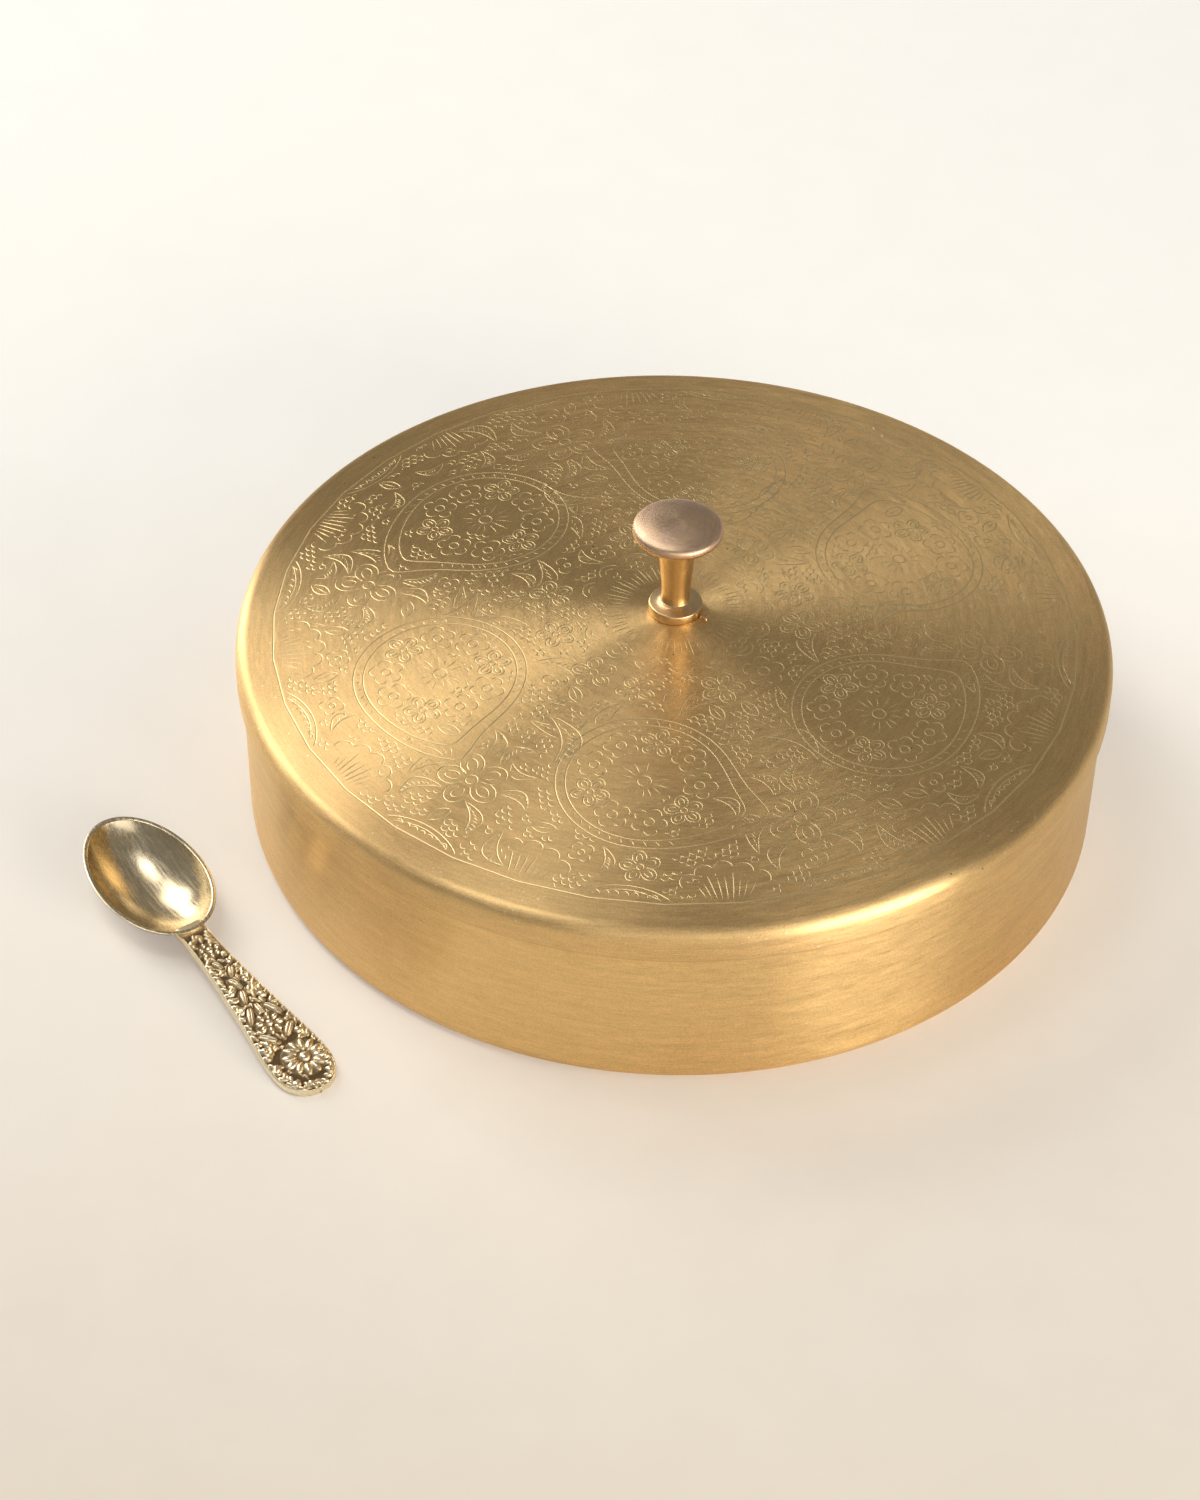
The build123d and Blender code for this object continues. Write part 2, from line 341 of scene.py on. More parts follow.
def add_piece(name, verts, faces, materials, smooth=True):
    """A mesh object from vertices in millimetres."""
    mesh = bpy.data.meshes.new(name)
    mesh.from_pydata((np.asarray(verts, float) * MM).tolist(), [], faces)
    for material in materials:
        mesh.materials.append(material)
    mesh.polygons.foreach_set("use_smooth", [smooth] * len(mesh.polygons))
    mesh.update()
    return add_object(name, mesh)


def rings_mesh(rings, close_start=True, close_end=True):
    """Vertices and faces that join rings of equally many points, one after the next."""
    count = len(rings[0])
    verts = np.concatenate(rings)
    faces = []
    for a in range(0, len(verts) - count, count):
        b = a + count
        for j in range(count):
            k = (j + 1) % count
            faces.append((a + j, a + k, b + k, b + j))
    if close_start:
        faces.append(tuple(range(count))[::-1])
    if close_end:
        faces.append(tuple(range(len(verts) - count, len(verts))))
    return verts, faces


def turned(profile, steps):
    """Rings of a solid of revolution, from (radius, height) points."""
    angle = np.arange(steps) * TAU / steps
    c, s = np.cos(angle), np.sin(angle)
    return [np.column_stack([r * c, r * s, np.full(steps, z)]) for r, z in profile]


def arc_points(cx, cy, radius, start, end, count):
    """Points on an arc, with its angles in degrees."""
    t = np.radians(np.linspace(start, end, count))
    return list(zip(cx + radius * np.cos(t), cy + radius * np.sin(t)))


def smooth_points(points, count):
    """A smooth curve through the points, sampled evenly."""
    points = np.asarray(points, float)
    ext = np.vstack([2 * points[0] - points[1], points, 2 * points[-1] - points[-2]])
    out = []
    per = max(2, count // (len(points) - 1))
    for i in range(1, len(ext) - 2):
        p0, p1, p2, p3 = ext[i - 1 : i + 3]
        square, cube = 2 * p0 - 5 * p1 + 4 * p2 - p3, 3 * p1 - p0 - 3 * p2 + p3
        for t in np.linspace(0, 1, per, endpoint=False):
            out.append(0.5 * ((2 * p1) + (p2 - p0) * t + square * t**2 + cube * t**3))
    out.append(points[-1])
    return [tuple(p) for p in out]


def vessel(base, ring, corner_at, corner, wall, outer_arc, side, inner_arc):
    """A round vessel's section, with its floor divided at ring to keep the faces there short."""
    outside = arc_points(corner_at, base + corner, corner, *outer_arc)
    inside = arc_points(corner_at, base + corner, corner - wall, *inner_arc)
    bottom = [(NEAR_AXIS, base), (ring, base), (corner_at, base)]
    return bottom + outside + side + inside + [(ring, base + wall), (NEAR_AXIS, base + wall)]


def weighted(made):
    """Weighted normals, so that a flat stays flat up to its rounded edges."""
    made.modifiers.new("normals", "WEIGHTED_NORMAL").keep_sharp = True


# Pan
rim_round = PAN_WALL / 2
pan_side = [(PAN_FOOT_RADIUS + out, z) for out, z in ((0.15, 12.0), (0.3, 22.0), (0.45, 32.0))]
pan_side += arc_points(PAN_RADIUS - rim_round, PAN_RIM - rim_round, rim_round, 0, 180, 8)
pan_side += [(PAN_RADIUS - PAN_WALL - 0.25, 24.0)]
pan_corner = (PAN_FOOT_RADIUS - PAN_CORNER, PAN_CORNER, PAN_WALL)
pan_profile = vessel(0.0, 60.0, *pan_corner, (-84, 0, 9), pan_side, (0, -90, 6))
pan_piece = add_piece("pan_shell", *rings_mesh(turned(pan_profile, LARGE_STEPS)), [WALL])
weighted(pan_piece)
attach(pan_piece, "pan")
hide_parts("pan")


# Lid. Its engraved disc is one mesh and the rim, skirt and underside another.
ENGRAVED_EDGE = 93.6


def lid_rim_profile():
    """The lid's section from the engraved disc out, down the skirt and back to the hole."""
    inner = DOME - LID_WALL
    bore = LID_RADIUS - LID_WALL
    centre_r = LID_RADIUS - LID_EDGE
    centre_z = DOME_CENTRE + sqrt((DOME - LID_EDGE) ** 2 - centre_r**2)
    start = degrees(acos(centre_r / (DOME - LID_EDGE)))
    top = [(r, float(dome_height(r))) for r in (ENGRAVED_EDGE, 94.8, 96.0)]
    corner = arc_points(centre_r, centre_z, LID_EDGE, start, 0, 14)
    lip = [(LID_RADIUS, LID_BOTTOM + up) for up in (3.0, 0.35)]
    lip += [(LID_RADIUS - 0.1, LID_BOTTOM + 0.08), (LID_RADIUS - 0.35, LID_BOTTOM)]
    lip += [(bore + 0.1, LID_BOTTOM + 0.05), (bore, LID_BOTTOM + 0.3)]
    inside = arc_points(centre_r, centre_z, LID_EDGE - LID_WALL, 0, start, 8)
    under_radii = (90.0, 75.0, 50.0, 25.0, 8.0, LID_HOLE)
    under = [(r, DOME_CENTRE + sqrt(inner**2 - r**2)) for r in under_radii]
    return top + corner + lip + inside + under + [(LID_HOLE, LID_APEX)]


lid_rim_rings = turned(lid_rim_profile(), LARGE_STEPS)
lid_rim = add_piece("lid_rim", *rings_mesh(lid_rim_rings, False, False), [BRUSHED])
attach(lid_rim, "lid")
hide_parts("lid")


# Engraving. A stroke is a row of points in the lid's plane, in millimetres.
BORDER = 92.7  # radius of the border circle
BARE = 9.0  # radius round the knob that stays plain
STEP = 0.3  # from one point of a stroke to the next
CELL, HALF = 0.2, 96.0  # a cell of the map of taken ground, and half the map's width
GROOVE_HALF, GROOVE_DEPTH, GROOVE_TAPER = 0.17, 0.07, 0.7
BEARINGS = range(204, 564, 60)  # of the six medallions, in degrees

# Leaves round the large flower between two medallions: lean, size, side
FLOWER_LEAVES = (
    (0.5, 9.5, 1), (-0.6, 9.5, -1), (1.5, 9.0, 1),
    (-1.6, 9.0, -1), (2.7, 9.5, 1), (-2.7, 9.5, -1),
)
# Leaves between two medallions: radius, turn in degrees, lean, size, side
GROUND_LEAVES = (
    (46, 30, 0.6, 15, 1), (50, 27, 2.4, 13, -1), (37, 8, 1.9, 12, 1),
    (34, -12, 0.2, 12, -1), (80, 20, 2.5, 11, 1), (80, 40, 0.6, 11, -1),
)
# Patches of scales in each sixth: radius, turn in degrees, rows, scales in a row, size
SCALE_PATCHES = (
    (41, 17, 5, 6, 3.9), (41, 41, 5, 5, 3.9), (66, 44, 4, 4, 3.7),
    (84, 14, 3, 5, 3.5), (84, -18, 3, 4, 3.5),
)
# Scales that fill what is left: rows, scales in a row, size, how often they are tried
SCALE_FILLS = ((3, 4, 3.4, 900), (2, 3, 3.2, 1600), (2, 2, 2.8, 2200))

rng = random.Random(11)
taken = np.zeros((int(2 * HALF / CELL), int(2 * HALF / CELL)), bool)
strokes = []


def distances(points):
    """How far along the row each of its points lies."""
    gaps = np.hypot(*np.diff(points, axis=0).T)
    return np.concatenate([[0], np.cumsum(gaps)])


def curve(points):
    """points, resampled evenly at about STEP."""
    points = np.asarray(points, float)
    along = distances(points)
    count = max(2, int(along[-1] / STEP) + 1)
    at = np.linspace(0, along[-1], count)
    return np.column_stack([np.interp(at, along, points[:, k]) for k in (0, 1)])


def cells(points):
    index = ((np.asarray(points) + HALF) / CELL).astype(int)
    return np.clip(index, 0, taken.shape[0] - 1)


def block(points, clearance):
    """Marks the ground near a stroke as taken."""
    reach = int(round(clearance / CELL))
    span = np.arange(-reach, reach + 1)
    dx, dy = np.meshgrid(span, span)
    disc = np.hypot(dx, dy) <= reach + 0.3
    offsets = np.column_stack([dx[disc], dy[disc]])
    spots = (cells(points)[:, None, :] + offsets[None]).reshape(-1, 2)
    spots = np.clip(spots, 0, taken.shape[0] - 1)
    taken[spots[:, 0], spots[:, 1]] = True


def is_free(points):
    """For each point, whether it is on clear ground inside the border circle."""
    index = cells(points)
    out = np.hypot(points[:, 0], points[:, 1])
    return ~taken[index[:, 0], index[:, 1]] & (out < BORDER - 0.5) & (out > BARE)


def draw(group, clearance=0.62, clip=True, shortest=1.5, width=1.0):
    """Cuts a group of strokes, each only where the ground is clear of earlier groups."""
    kept = []
    for points in group:
        points = curve(points)
        runs = [points]
        if clip:
            free = is_free(points)
            edges = np.flatnonzero(np.diff(np.concatenate([[0], free.astype(int), [0]])))
            runs = [points[a:b] for a, b in zip(edges[::2], edges[1::2])]
        kept += [run for run in runs if len(run) * STEP >= shortest]
    for run in kept:
        strokes.append((run, width))
        block(run, clearance)


def turn_to(group, x, y, angle, size, flip=1):
    """A group drawn round the origin at unit size, moved to its place."""
    c, s = cos(angle), sin(angle)
    spin = np.array([[c, s], [-s, c]])
    return [(np.asarray(p) * (size, size * flip)) @ spin + (x, y) for p in group]


def polar(radius, bearing):
    """The point at that radius and bearing in degrees, and the bearing in radians."""
    a = radians(bearing)
    return radius * cos(a), radius * sin(a), a


# Ornaments, each a group of strokes round the origin at unit size


def arc(cx, cy, radius, start, end, squash=1.0):
    t = np.linspace(start, end, max(5, int(abs(end - start) * 6)))
    return np.column_stack([cx + radius * np.cos(t), cy + radius * squash * np.sin(t)])


def petal(angle, inner, outer, half_width):
    """A petal's outline, open at the base."""
    t = np.linspace(-2.75, 2.75, 17)
    middle, reach = (inner + outer) / 2, (outer - inner) / 2
    return np.column_stack(rotated(middle + reach * np.cos(t), half_width * np.sin(t), angle))


def looped_flower():
    """Five petals, each with a smaller one inside it, round a ring."""
    group = [arc(0, 0, 0.17, 0, TAU)]
    for k in range(5):
        a = k * TAU / 5 + rng.uniform(-0.06, 0.06)
        group.append(petal(a, 0.2, 1.0, 0.34))
        group.append(petal(a, 0.34, 0.8, 0.15))
    return group


def daisy(count):
    """Straight cuts round a ring."""
    group = [arc(0, 0, 0.22, 0, TAU)]
    for k in range(count):
        a = k * TAU / count + rng.uniform(-0.07, 0.07)
        c, s = cos(a), sin(a)
        near, far = rng.uniform(0.3, 0.36), rng.uniform(0.7, 0.95)
        group.append([(near * c, near * s), (far * c, far * s)])
    return group


def cloud(lobes):
    """A round flower with a lobed edge and a ring in its middle."""
    group = [arc(0, 0, 0.26, 0, TAU)]
    reach = 0.92 * sin(pi / lobes)
    for k in range(lobes):
        a = k * TAU / lobes
        cx, cy = 0.6 * cos(a), 0.6 * sin(a)
        group.append(arc(cx, cy, reach * 0.62, a - 1.75, a + 1.75))
    return group


def comb_leaf():
    """A curved leaf along +X with short cuts down one side."""
    t = np.linspace(0, 1, 14)
    spine = np.column_stack([t, 0.22 * np.sin(t * 2.6)])
    back = np.column_stack([t, 0.22 * np.sin(t * 2.6) + 0.3 * np.sin(t * pi) ** 0.8])
    group = [spine, back]
    for u in np.linspace(0.15, 0.88, 8):
        y = 0.22 * sin(u * 2.6)
        reach = 0.22 * sin(u * pi)
        group.append([(u, y + 0.04), (u + 0.03, y + reach * 0.6), (u + 0.1, y + reach)])
    return group


def pointed_leaf():
    """A straight leaf along +X with a midrib and three pairs of veins."""
    t = np.linspace(0, 1, 12)
    bulge = 0.24 * np.sin(t * pi) ** 0.85
    group = [np.column_stack([t, bulge]), np.column_stack([t, -bulge]), [(0.08, 0), (0.8, 0)]]
    for u in (0.28, 0.44, 0.6):
        for side in (-1, 1):
            group.append([(u, 0.03 * side), (u + 0.13, 0.15 * side)])
    return group


def scale_rows(rows, count):
    """Rows of small scales, each row half a scale out of step with the last."""
    group = []
    for i in range(rows):
        for j in range(count - i):
            cx = (j - (count - i - 1) / 2) * 0.6
            group.append(arc(cx, i * 0.4, 0.3, 0.05, pi - 0.05, 1.1))
    return group


def shell():
    """A fan of straight cuts inside a lobed edge, opening along +X."""
    group = []
    for k in range(9):
        a = (k - 4) * 0.19
        far = 0.82 + 0.1 * cos(k * 2.1) - 0.05 * abs(k - 4) / 4
        near_end = (0.04 + 0.1 * abs(k - 4) / 4, 0.13 * (k - 4) * 0.9)
        far_end = (far * cos(a), far * sin(a) * 0.9 + 0.05 * (k - 4))
        group.append([near_end, far_end])
    for k in range(5):
        a = (k - 2) * 0.42
        cx, cy = 0.98 * cos(a), 1.08 * sin(a)
        group.append(arc(cx, cy, 0.23, a - 1.45, a + 1.45))
    return group


def boat(rise=0.34):
    """A half leaf lying on the border circle, filled with small arcs, along X."""
    t = np.linspace(-1, 1, 22)
    group = [np.column_stack([t, rise * (1 - t**2) ** 0.8])]
    group.append(np.column_stack([t * 0.8, 0.68 * rise * (1 - t**2)]))
    for u in np.linspace(-0.6, 0.6, 7):
        top = 0.5 * rise * (1 - u**2)
        group.append(arc(u, top * 0.3, 0.085, 0.2, pi - 0.2, 1.5))
    return group


def drop_outline(radius, tip, reach=0.46):
    """A drop round the origin, with its tip drawn round to one side."""
    t = np.linspace(tip - pi, tip + pi, 90)
    stretch = np.exp(-(np.abs((t - tip) / 0.42) ** 1.4))
    r = radius * (1 + reach * stretch)
    bent = t + 0.55 * stretch * reach
    return np.column_stack([r * np.cos(bent), r * np.sin(bent)])


# The layout, from the large ornaments down to the scales that fill the rest


def lay_middle():
    """The border circle, the ring of short cuts round the knob and the scales round that."""
    draw([arc(0, 0, BORDER, 0, TAU)], clip=False, width=1.15)
    for k in range(64):
        x, y, _ = polar(1, k * 360 / 64 + rng.uniform(-1.2, 1.2))
        near, far = rng.uniform(10.5, 11.6), rng.uniform(15.2, 17.4)
        draw([[(near * x, near * y), (far * x, far * y)]], clearance=0.5, width=1.2)
    for k in range(16):
        x, y, a = polar(19.6, k * 22.5 + 5)
        draw([arc(x, y, 2.9, a - 1.35, a + 1.35), arc(x, y, 1.5, a - 1.2, a + 1.2)])


def lay_medallion(base):
    """A medallion with a daisy and nine small flowers. Returns its centre."""
    x, y, a = polar(57.0 + rng.uniform(-0.8, 0.8), base)
    tip = a + radians(64)
    outline, inner = drop_outline(19.6, tip), drop_outline(17.4, tip, 0.36)
    draw([outline + (x, y), inner + (x, y)], clip=False, width=1.1)
    comb = []
    for j in range(0, 90, 2):
        if abs(j - 45) > 5 and (j // 12) % 4 != 3:
            near, far = inner[j], outline[min(j + 1, 89)]
            comb.append([near + 0.12 * (far - near), near + 0.72 * (far - near)])
    draw([np.array(p) + (x, y) for p in comb], clip=False, shortest=0.6)
    draw(turn_to(daisy(14), x, y, a, 7.0), clip=False)
    for j in range(9):
        fx, fy, fa = polar(12.2, base + j * 40 + 12)
        flower, size = (looped_flower(), 4.4) if j % 3 == 1 else (cloud(5), 4.3)
        draw(turn_to(flower, x + fx, y + fy, fa, size))
    return x, y


def lay_surround(base):
    """The shells and boats on the border and the flowers and leaves beside a medallion."""
    for turn in (-15, 14):
        x, y, a = polar(BORDER - 0.4, base + turn)
        draw(turn_to(shell(), x, y, a + pi, 9.6))
    for turn in (0, 30):
        x, y, a = polar(BORDER - 1.0, base + turn)
        draw(turn_to(boat(), x, y, a + pi / 2, 10.5))
    x, y, a = polar(72.0, base + 29)
    draw(turn_to(looped_flower(), x, y, a, 8.0))
    for lean, size, side in FLOWER_LEAVES:
        leaf_x, leaf_y = x + 6.6 * cos(a + lean), y + 6.6 * sin(a + lean)
        draw(turn_to(comb_leaf(), leaf_x, leaf_y, a + lean, size, side), shortest=1.0)
    x, y, a = polar(29.0, base + 28)
    draw(turn_to(looped_flower(), x, y, a, 5.2))
    for radius, turn, lean, size, side in GROUND_LEAVES:
        x, y, a = polar(radius, base + turn)
        draw(turn_to(comb_leaf(), x, y, a + lean, size, side), shortest=1.2)


def scatter_ornaments():
    """Small flowers and leaves at random, each where its ground is clear."""
    for size, tries, make, from_end in (
        (5.2, 250, lambda: cloud(5), False),
        (4.6, 500, looped_flower, False),
        (7.5, 900, comb_leaf, True),
        (6.0, 1200, pointed_leaf, True),
        (2.9, 1600, lambda: cloud(rng.choice((3, 4))), False),
    ):
        share = 0.5 if from_end else 1.0
        for _ in range(tries):
            radius = BORDER * sqrt(rng.random())
            x, y, _ = polar(radius, rng.uniform(0, 360))
            a = rng.uniform(0, TAU)
            group = make()
            test = [arc(0, 0, f * share * size, 0, TAU) for f in (0.2, 0.5, 0.8, 1.0)]
            if is_free(np.concatenate(test) + (x, y)).mean() < 0.97:
                continue
            back = 0.5 * size if from_end else 0.0
            draw(turn_to(group, x - back * cos(a), y - back * sin(a), a, size))


def scatter_scales(centres):
    """Patches of scales at random, facing away from the nearest medallion."""
    for rows, count, size, tries in SCALE_FILLS:
        for _ in range(tries):
            x, y, _ = polar(BORDER * sqrt(rng.random()), rng.uniform(0, 360))
            near = min(centres, key=lambda c: hypot(c[0] - x, c[1] - y))
            a = atan2(y - near[1], x - near[0]) - pi / 2 + rng.uniform(-0.3, 0.3)
            group = turn_to(scale_rows(rows, count), x, y, a, size)
            if is_free(np.concatenate([curve(p) for p in group])).mean() > 0.8:
                draw(group, clearance=0.45, shortest=1.2)


def lay_out():
    """The whole pattern."""
    lay_middle()
    centres = []
    for bearing in BEARINGS:
        base = bearing + rng.uniform(-1.5, 1.5)
        centres.append(lay_medallion(base))
        lay_surround(base)
    for bearing in BEARINGS:
        for radius, turn, rows, count, size in SCALE_PATCHES:
            x, y, a = polar(radius, bearing + turn)
            a = a - pi / 2 + rng.uniform(-0.2, 0.2)
            draw(turn_to(scale_rows(rows, count), x, y, a, size), clearance=0.45, shortest=0.9)
    scatter_ornaments()
    scatter_scales(centres)


# The engraved disc


def thin_out(points, tolerance):
    """Fewer points along a stroke, leaving its shape the same within the tolerance."""
    keep = [0, len(points) - 1]
    stack = [(0, len(points) - 1)]
    while stack:
        a, b = stack.pop()
        if b - a < 2:
            continue
        line = points[b] - points[a]
        length = hypot(*line)
        rel = points[a + 1 : b] - points[a]
        if length < 1e-6:
            off = np.hypot(rel[:, 0], rel[:, 1])
        else:
            off = np.abs(rel[:, 0] * line[1] - rel[:, 1] * line[0]) / length
        worst = int(np.argmax(off))
        if off[worst] > tolerance or b - a > 10:
            middle = a + 1 + worst if off[worst] > tolerance else (a + b) // 2
            keep.append(middle)
            stack += [(a, middle), (middle, b)]
    return points[sorted(set(keep))]


def add_groove(points, width, verts, edges, depth):
    """Adds a stroke's two banks and its bottom. Returns the bottom's segments."""
    points = thin_out(points, 0.012 if len(points) > 1500 else 0.035)  # finer on the border
    count = len(points)
    if count < 2:
        return []
    tangent = np.gradient(points, axis=0)
    tangent /= np.maximum(np.hypot(tangent[:, 0], tangent[:, 1]), 1e-9)[:, None]
    across = np.column_stack([-tangent[:, 1], tangent[:, 0]])
    closed = hypot(*(points[0] - points[-1])) < 0.05
    along = distances(points)
    room = np.minimum(along, along[-1] - along)
    taper = np.ones(count) if closed else np.clip(room / GROOVE_TAPER, 0.0, 1.0)
    if count == 2 and not closed:
        points = np.array([points[0], (points[0] + points[1]) / 2, points[1]])
        across = np.array([across[0]] * 3)
        taper = np.array([0.0, 1.0, 0.0])
    banks = across * (GROOVE_HALF * width * taper)[:, None]
    ids = []
    for point, bank, share in zip(points, banks, taper):
        first = len(verts)
        if share < 0.02:
            verts.append(tuple(point))
            depth.append(0.0)
            ids.append((first, first, first))
        else:
            verts += [tuple(point + bank), tuple(point), tuple(point - bank)]
            depth += [0.0, GROOVE_DEPTH * share, 0.0]
            ids.append((first, first + 1, first + 2))
    bottom = []
    for a, b in zip(ids[:-1], ids[1:]):
        edges += [(a[side], b[side]) for side in range(3) if a[side] != b[side]]
        bottom.append((a[1], b[1]))
    return bottom


def crossing_depth(spot, segments, tree):
    """How deep the deepest groove is at a spot where strokes cross."""
    best = 0.0
    for _, j, _ in tree.find_range((spot[0], spot[1], 0.0), 2.2):
        a, b = segments[j]
        line = b - a
        t = np.clip(np.dot(spot - a, line) / max(np.dot(line, line), 1e-9), 0, 1)
        gap = hypot(*(a + t * line - spot))
        best = max(best, GROOVE_DEPTH * (1 - gap / GROOVE_HALF))
    return best


def engraved_disc():
    """The lid's top as one mesh, with every stroke cut into it as a tapered groove."""
    verts, edges, bottoms = [], [], []
    for radius, steps in ((ENGRAVED_EDGE, LARGE_STEPS), (LID_HOLE, HOLE_STEPS)):
        start = len(verts)
        verts += [(x, y) for x, y, _ in turned([(radius, 0.0)], steps)[0]]
        edges += [(start + i, start + (i + 1) % steps) for i in range(steps)]
    depth = [0.0] * len(verts)
    for points, width in strokes:
        bottoms += add_groove(points, width, verts, edges, depth)
    segments = [(np.array(verts[a]), np.array(verts[b])) for a, b in bottoms]
    flat_verts = [Vector(v) for v in verts]
    out, _, faces, origin, _, _ = delaunay_2d_cdt(flat_verts, edges, [], 0, 1e-4, True)
    flat = np.array([(v.x, v.y) for v in out])
    drop = np.array([max((depth[i] for i in ids), default=-1.0) for ids in origin])
    tree = KDTree(len(segments))
    for i, (a, b) in enumerate(segments):
        middle = (a + b) / 2
        tree.insert((middle[0], middle[1], 0.0), i)
    tree.balance()
    for i in np.flatnonzero(drop < 0):
        drop[i] = crossing_depth(flat[i], segments, tree)
    radius = np.hypot(flat[:, 0], flat[:, 1])
    faces = [f for f in faces if np.hypot(*flat[list(f)].mean(axis=0)) > LID_HOLE]
    height = dome_height(np.minimum(radius, LID_RADIUS)) - drop
    return np.column_stack([flat, height]), faces, drop


def read_all(items, name, width=1, kind=float):
    """One property of all the items, as an array with one row for each."""
    values = np.zeros(len(items) * width, kind)
    items.foreach_get(name, values)
    return values if width == 1 else values.reshape(-1, width)


def clean_normals(made, drop):
    """Exact dome normals on the sheet, and mostly flat ones on the walls of the grooves."""
    mesh = made.data
    corner = read_all(mesh.loops, "vertex_index", kind=int)
    starts = read_all(mesh.polygons, "loop_start", kind=int)
    facing = read_all(mesh.polygons, "normal", 3)
    cut = np.zeros(len(starts), bool)
    for k in range(3):
        cut |= drop[corner[starts + k]] > 0.004
    dome = read_all(mesh.vertices, "co", 3) - (0, 0, DOME_CENTRE * MM)
    dome /= np.linalg.norm(dome, axis=1)[:, None]
    normal = dome[corner]
    for k in range(3):
        index = starts[cut] + k
        normal[index] = facing[cut] * 0.6 + dome[corner[index]] * 0.4
    normal /= np.linalg.norm(normal, axis=1)[:, None]
    mesh.polygons.foreach_set("material_index", cut.astype(int))
    mesh.normals_split_custom_set(normal.tolist())


lay_out()
disc_verts, disc_faces, disc_drop = engraved_disc()
disc = add_piece("lid_engraved_top", disc_verts, disc_faces, [BRUSHED, ENGRAVED])
clean_normals(disc, disc_drop)
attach(disc, "lid")


# Nib beside the knob's foot
NIB_LENGTH, NIB_WIDTH, NIB_HEIGHT = 2.1, 1.2, 1.3
NIB_AT, NIB_BEARING, NIB_SUNK = 7.35, radians(-26), 0.33


def nib_rings():
    """Rings of a rounded block that stands on its base, centred on the origin."""
    a = np.arange(40) * TAU / 40
    squared = [np.sign(v) * np.abs(v) ** 0.35 for v in (np.cos(a), np.sin(a))]
    rings = []
    for t in np.linspace(0, 1, 6):
        grow = sqrt(max(0.0, 1 - t**3)) if t < 1 else 0.05
        share = (0.75 + 0.25 * grow) * max(grow, 0.3)
        x, y = squared[0] * NIB_LENGTH / 2 * share, squared[1] * NIB_WIDTH / 2 * share
        rings.append(np.column_stack([x, y, np.full(len(a), NIB_HEIGHT * t)]))
    return rings


nib_verts, nib_faces = rings_mesh(nib_rings())
nib_x, nib_y, nib_z = (nib_verts + (NIB_AT, 0, LID_APEX - NIB_SUNK)).T
nib_verts = np.column_stack([*rotated(nib_x, nib_y, NIB_BEARING), nib_z])
nib = add_piece("lid_nib", nib_verts, nib_faces, [FIXING])
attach(nib, "lid")


# Knob, as (radius, height above the dome's top) from the screw's hole round to the head's top
knob_foot = [(2.05, 0.0), (5.9, 0.0), (6.12, 0.1), (6.2, 0.35)]
knob_foot += [(6.2, 1.0), (6.2, 2.05), (6.1, 2.3), (5.85, 2.42)]
knob_stem = [(5.6, 2.46), (4.3, 2.8), (3.6, 3.2), (3.3, 3.8)]
knob_stem += [(3.42, 8.0), (3.8, 12.2), (4.25, 16.5), (4.9, 20.6)]
knob_flare = [(5.4, 20.85), (7.4, 21.5), (9.5, 22.1)]
knob_edge = arc_points(8.85, 23.3, 1.5, -50, 42, 12)
knob_top = [(9.6, 24.62), (8.2, 25.25), (5.6, 25.98), (2.8, 26.32), (0.02, 26.4)]
knob_profile = knob_foot + smooth_points(knob_stem, 42) + smooth_points(knob_flare, 10)
knob_profile += knob_edge + smooth_points(knob_top, 20)
knob_profile = [(r, z + LID_APEX) for r, z in knob_profile]
knob_rings = turned(knob_profile, SMALL_STEPS)
knob = add_piece("knob_turned", *rings_mesh(knob_rings, False, True), [KNOB])
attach(knob, "lid")
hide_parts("knob")


# Cups, standing on the pan's floor
shoulder = CUP_RADIUS - 2 * CUP_BEAD + CUP_WALL
cup_foot = shoulder - CUP_TAPER
bead_z = CUP_TOP - CUP_BEAD
cup_side = [(cup_foot + 1.0, 14.0), (cup_foot + 2.2, 24.0), (shoulder - 0.05, bead_z - 0.9)]
cup_side += arc_points(CUP_RADIUS - CUP_BEAD, bead_z, CUP_BEAD, -75, 200, 14)
cup_side += [(shoulder - CUP_WALL - 1.0, 24.0)]
cup_corner = (cup_foot - CUP_CORNER, CUP_CORNER, CUP_WALL)
cup_profile = vessel(PAN_WALL, 12.0, *cup_corner, (-82, -5, 9), cup_side, (-5, -90, 7))
cup_verts, cup_faces = rings_mesh(turned(cup_profile, SMALL_STEPS))
cups = {"cup_middle": add_piece("cup_middle_shell", cup_verts, cup_faces, [CUP])}
for number in range(1, 7):
    cup = add_object(f"cup_{number}_shell", cups["cup_middle"].data)
    bearing = radians(60 * (number - 1))
    reach = CUP_SPACING * MM
    cup.location = (reach * cos(bearing), reach * sin(bearing), 0)
    cups[f"cup_{number}"] = cup
bpy.context.view_layer.update()
for label, piece in cups.items():
    weighted(piece)
    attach(piece, label)
    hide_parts(label)

for label in ("knob_washer", "knob_screw"):
    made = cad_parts[label]
    made.data.materials.clear()
    made.data.materials.append(FIXING)


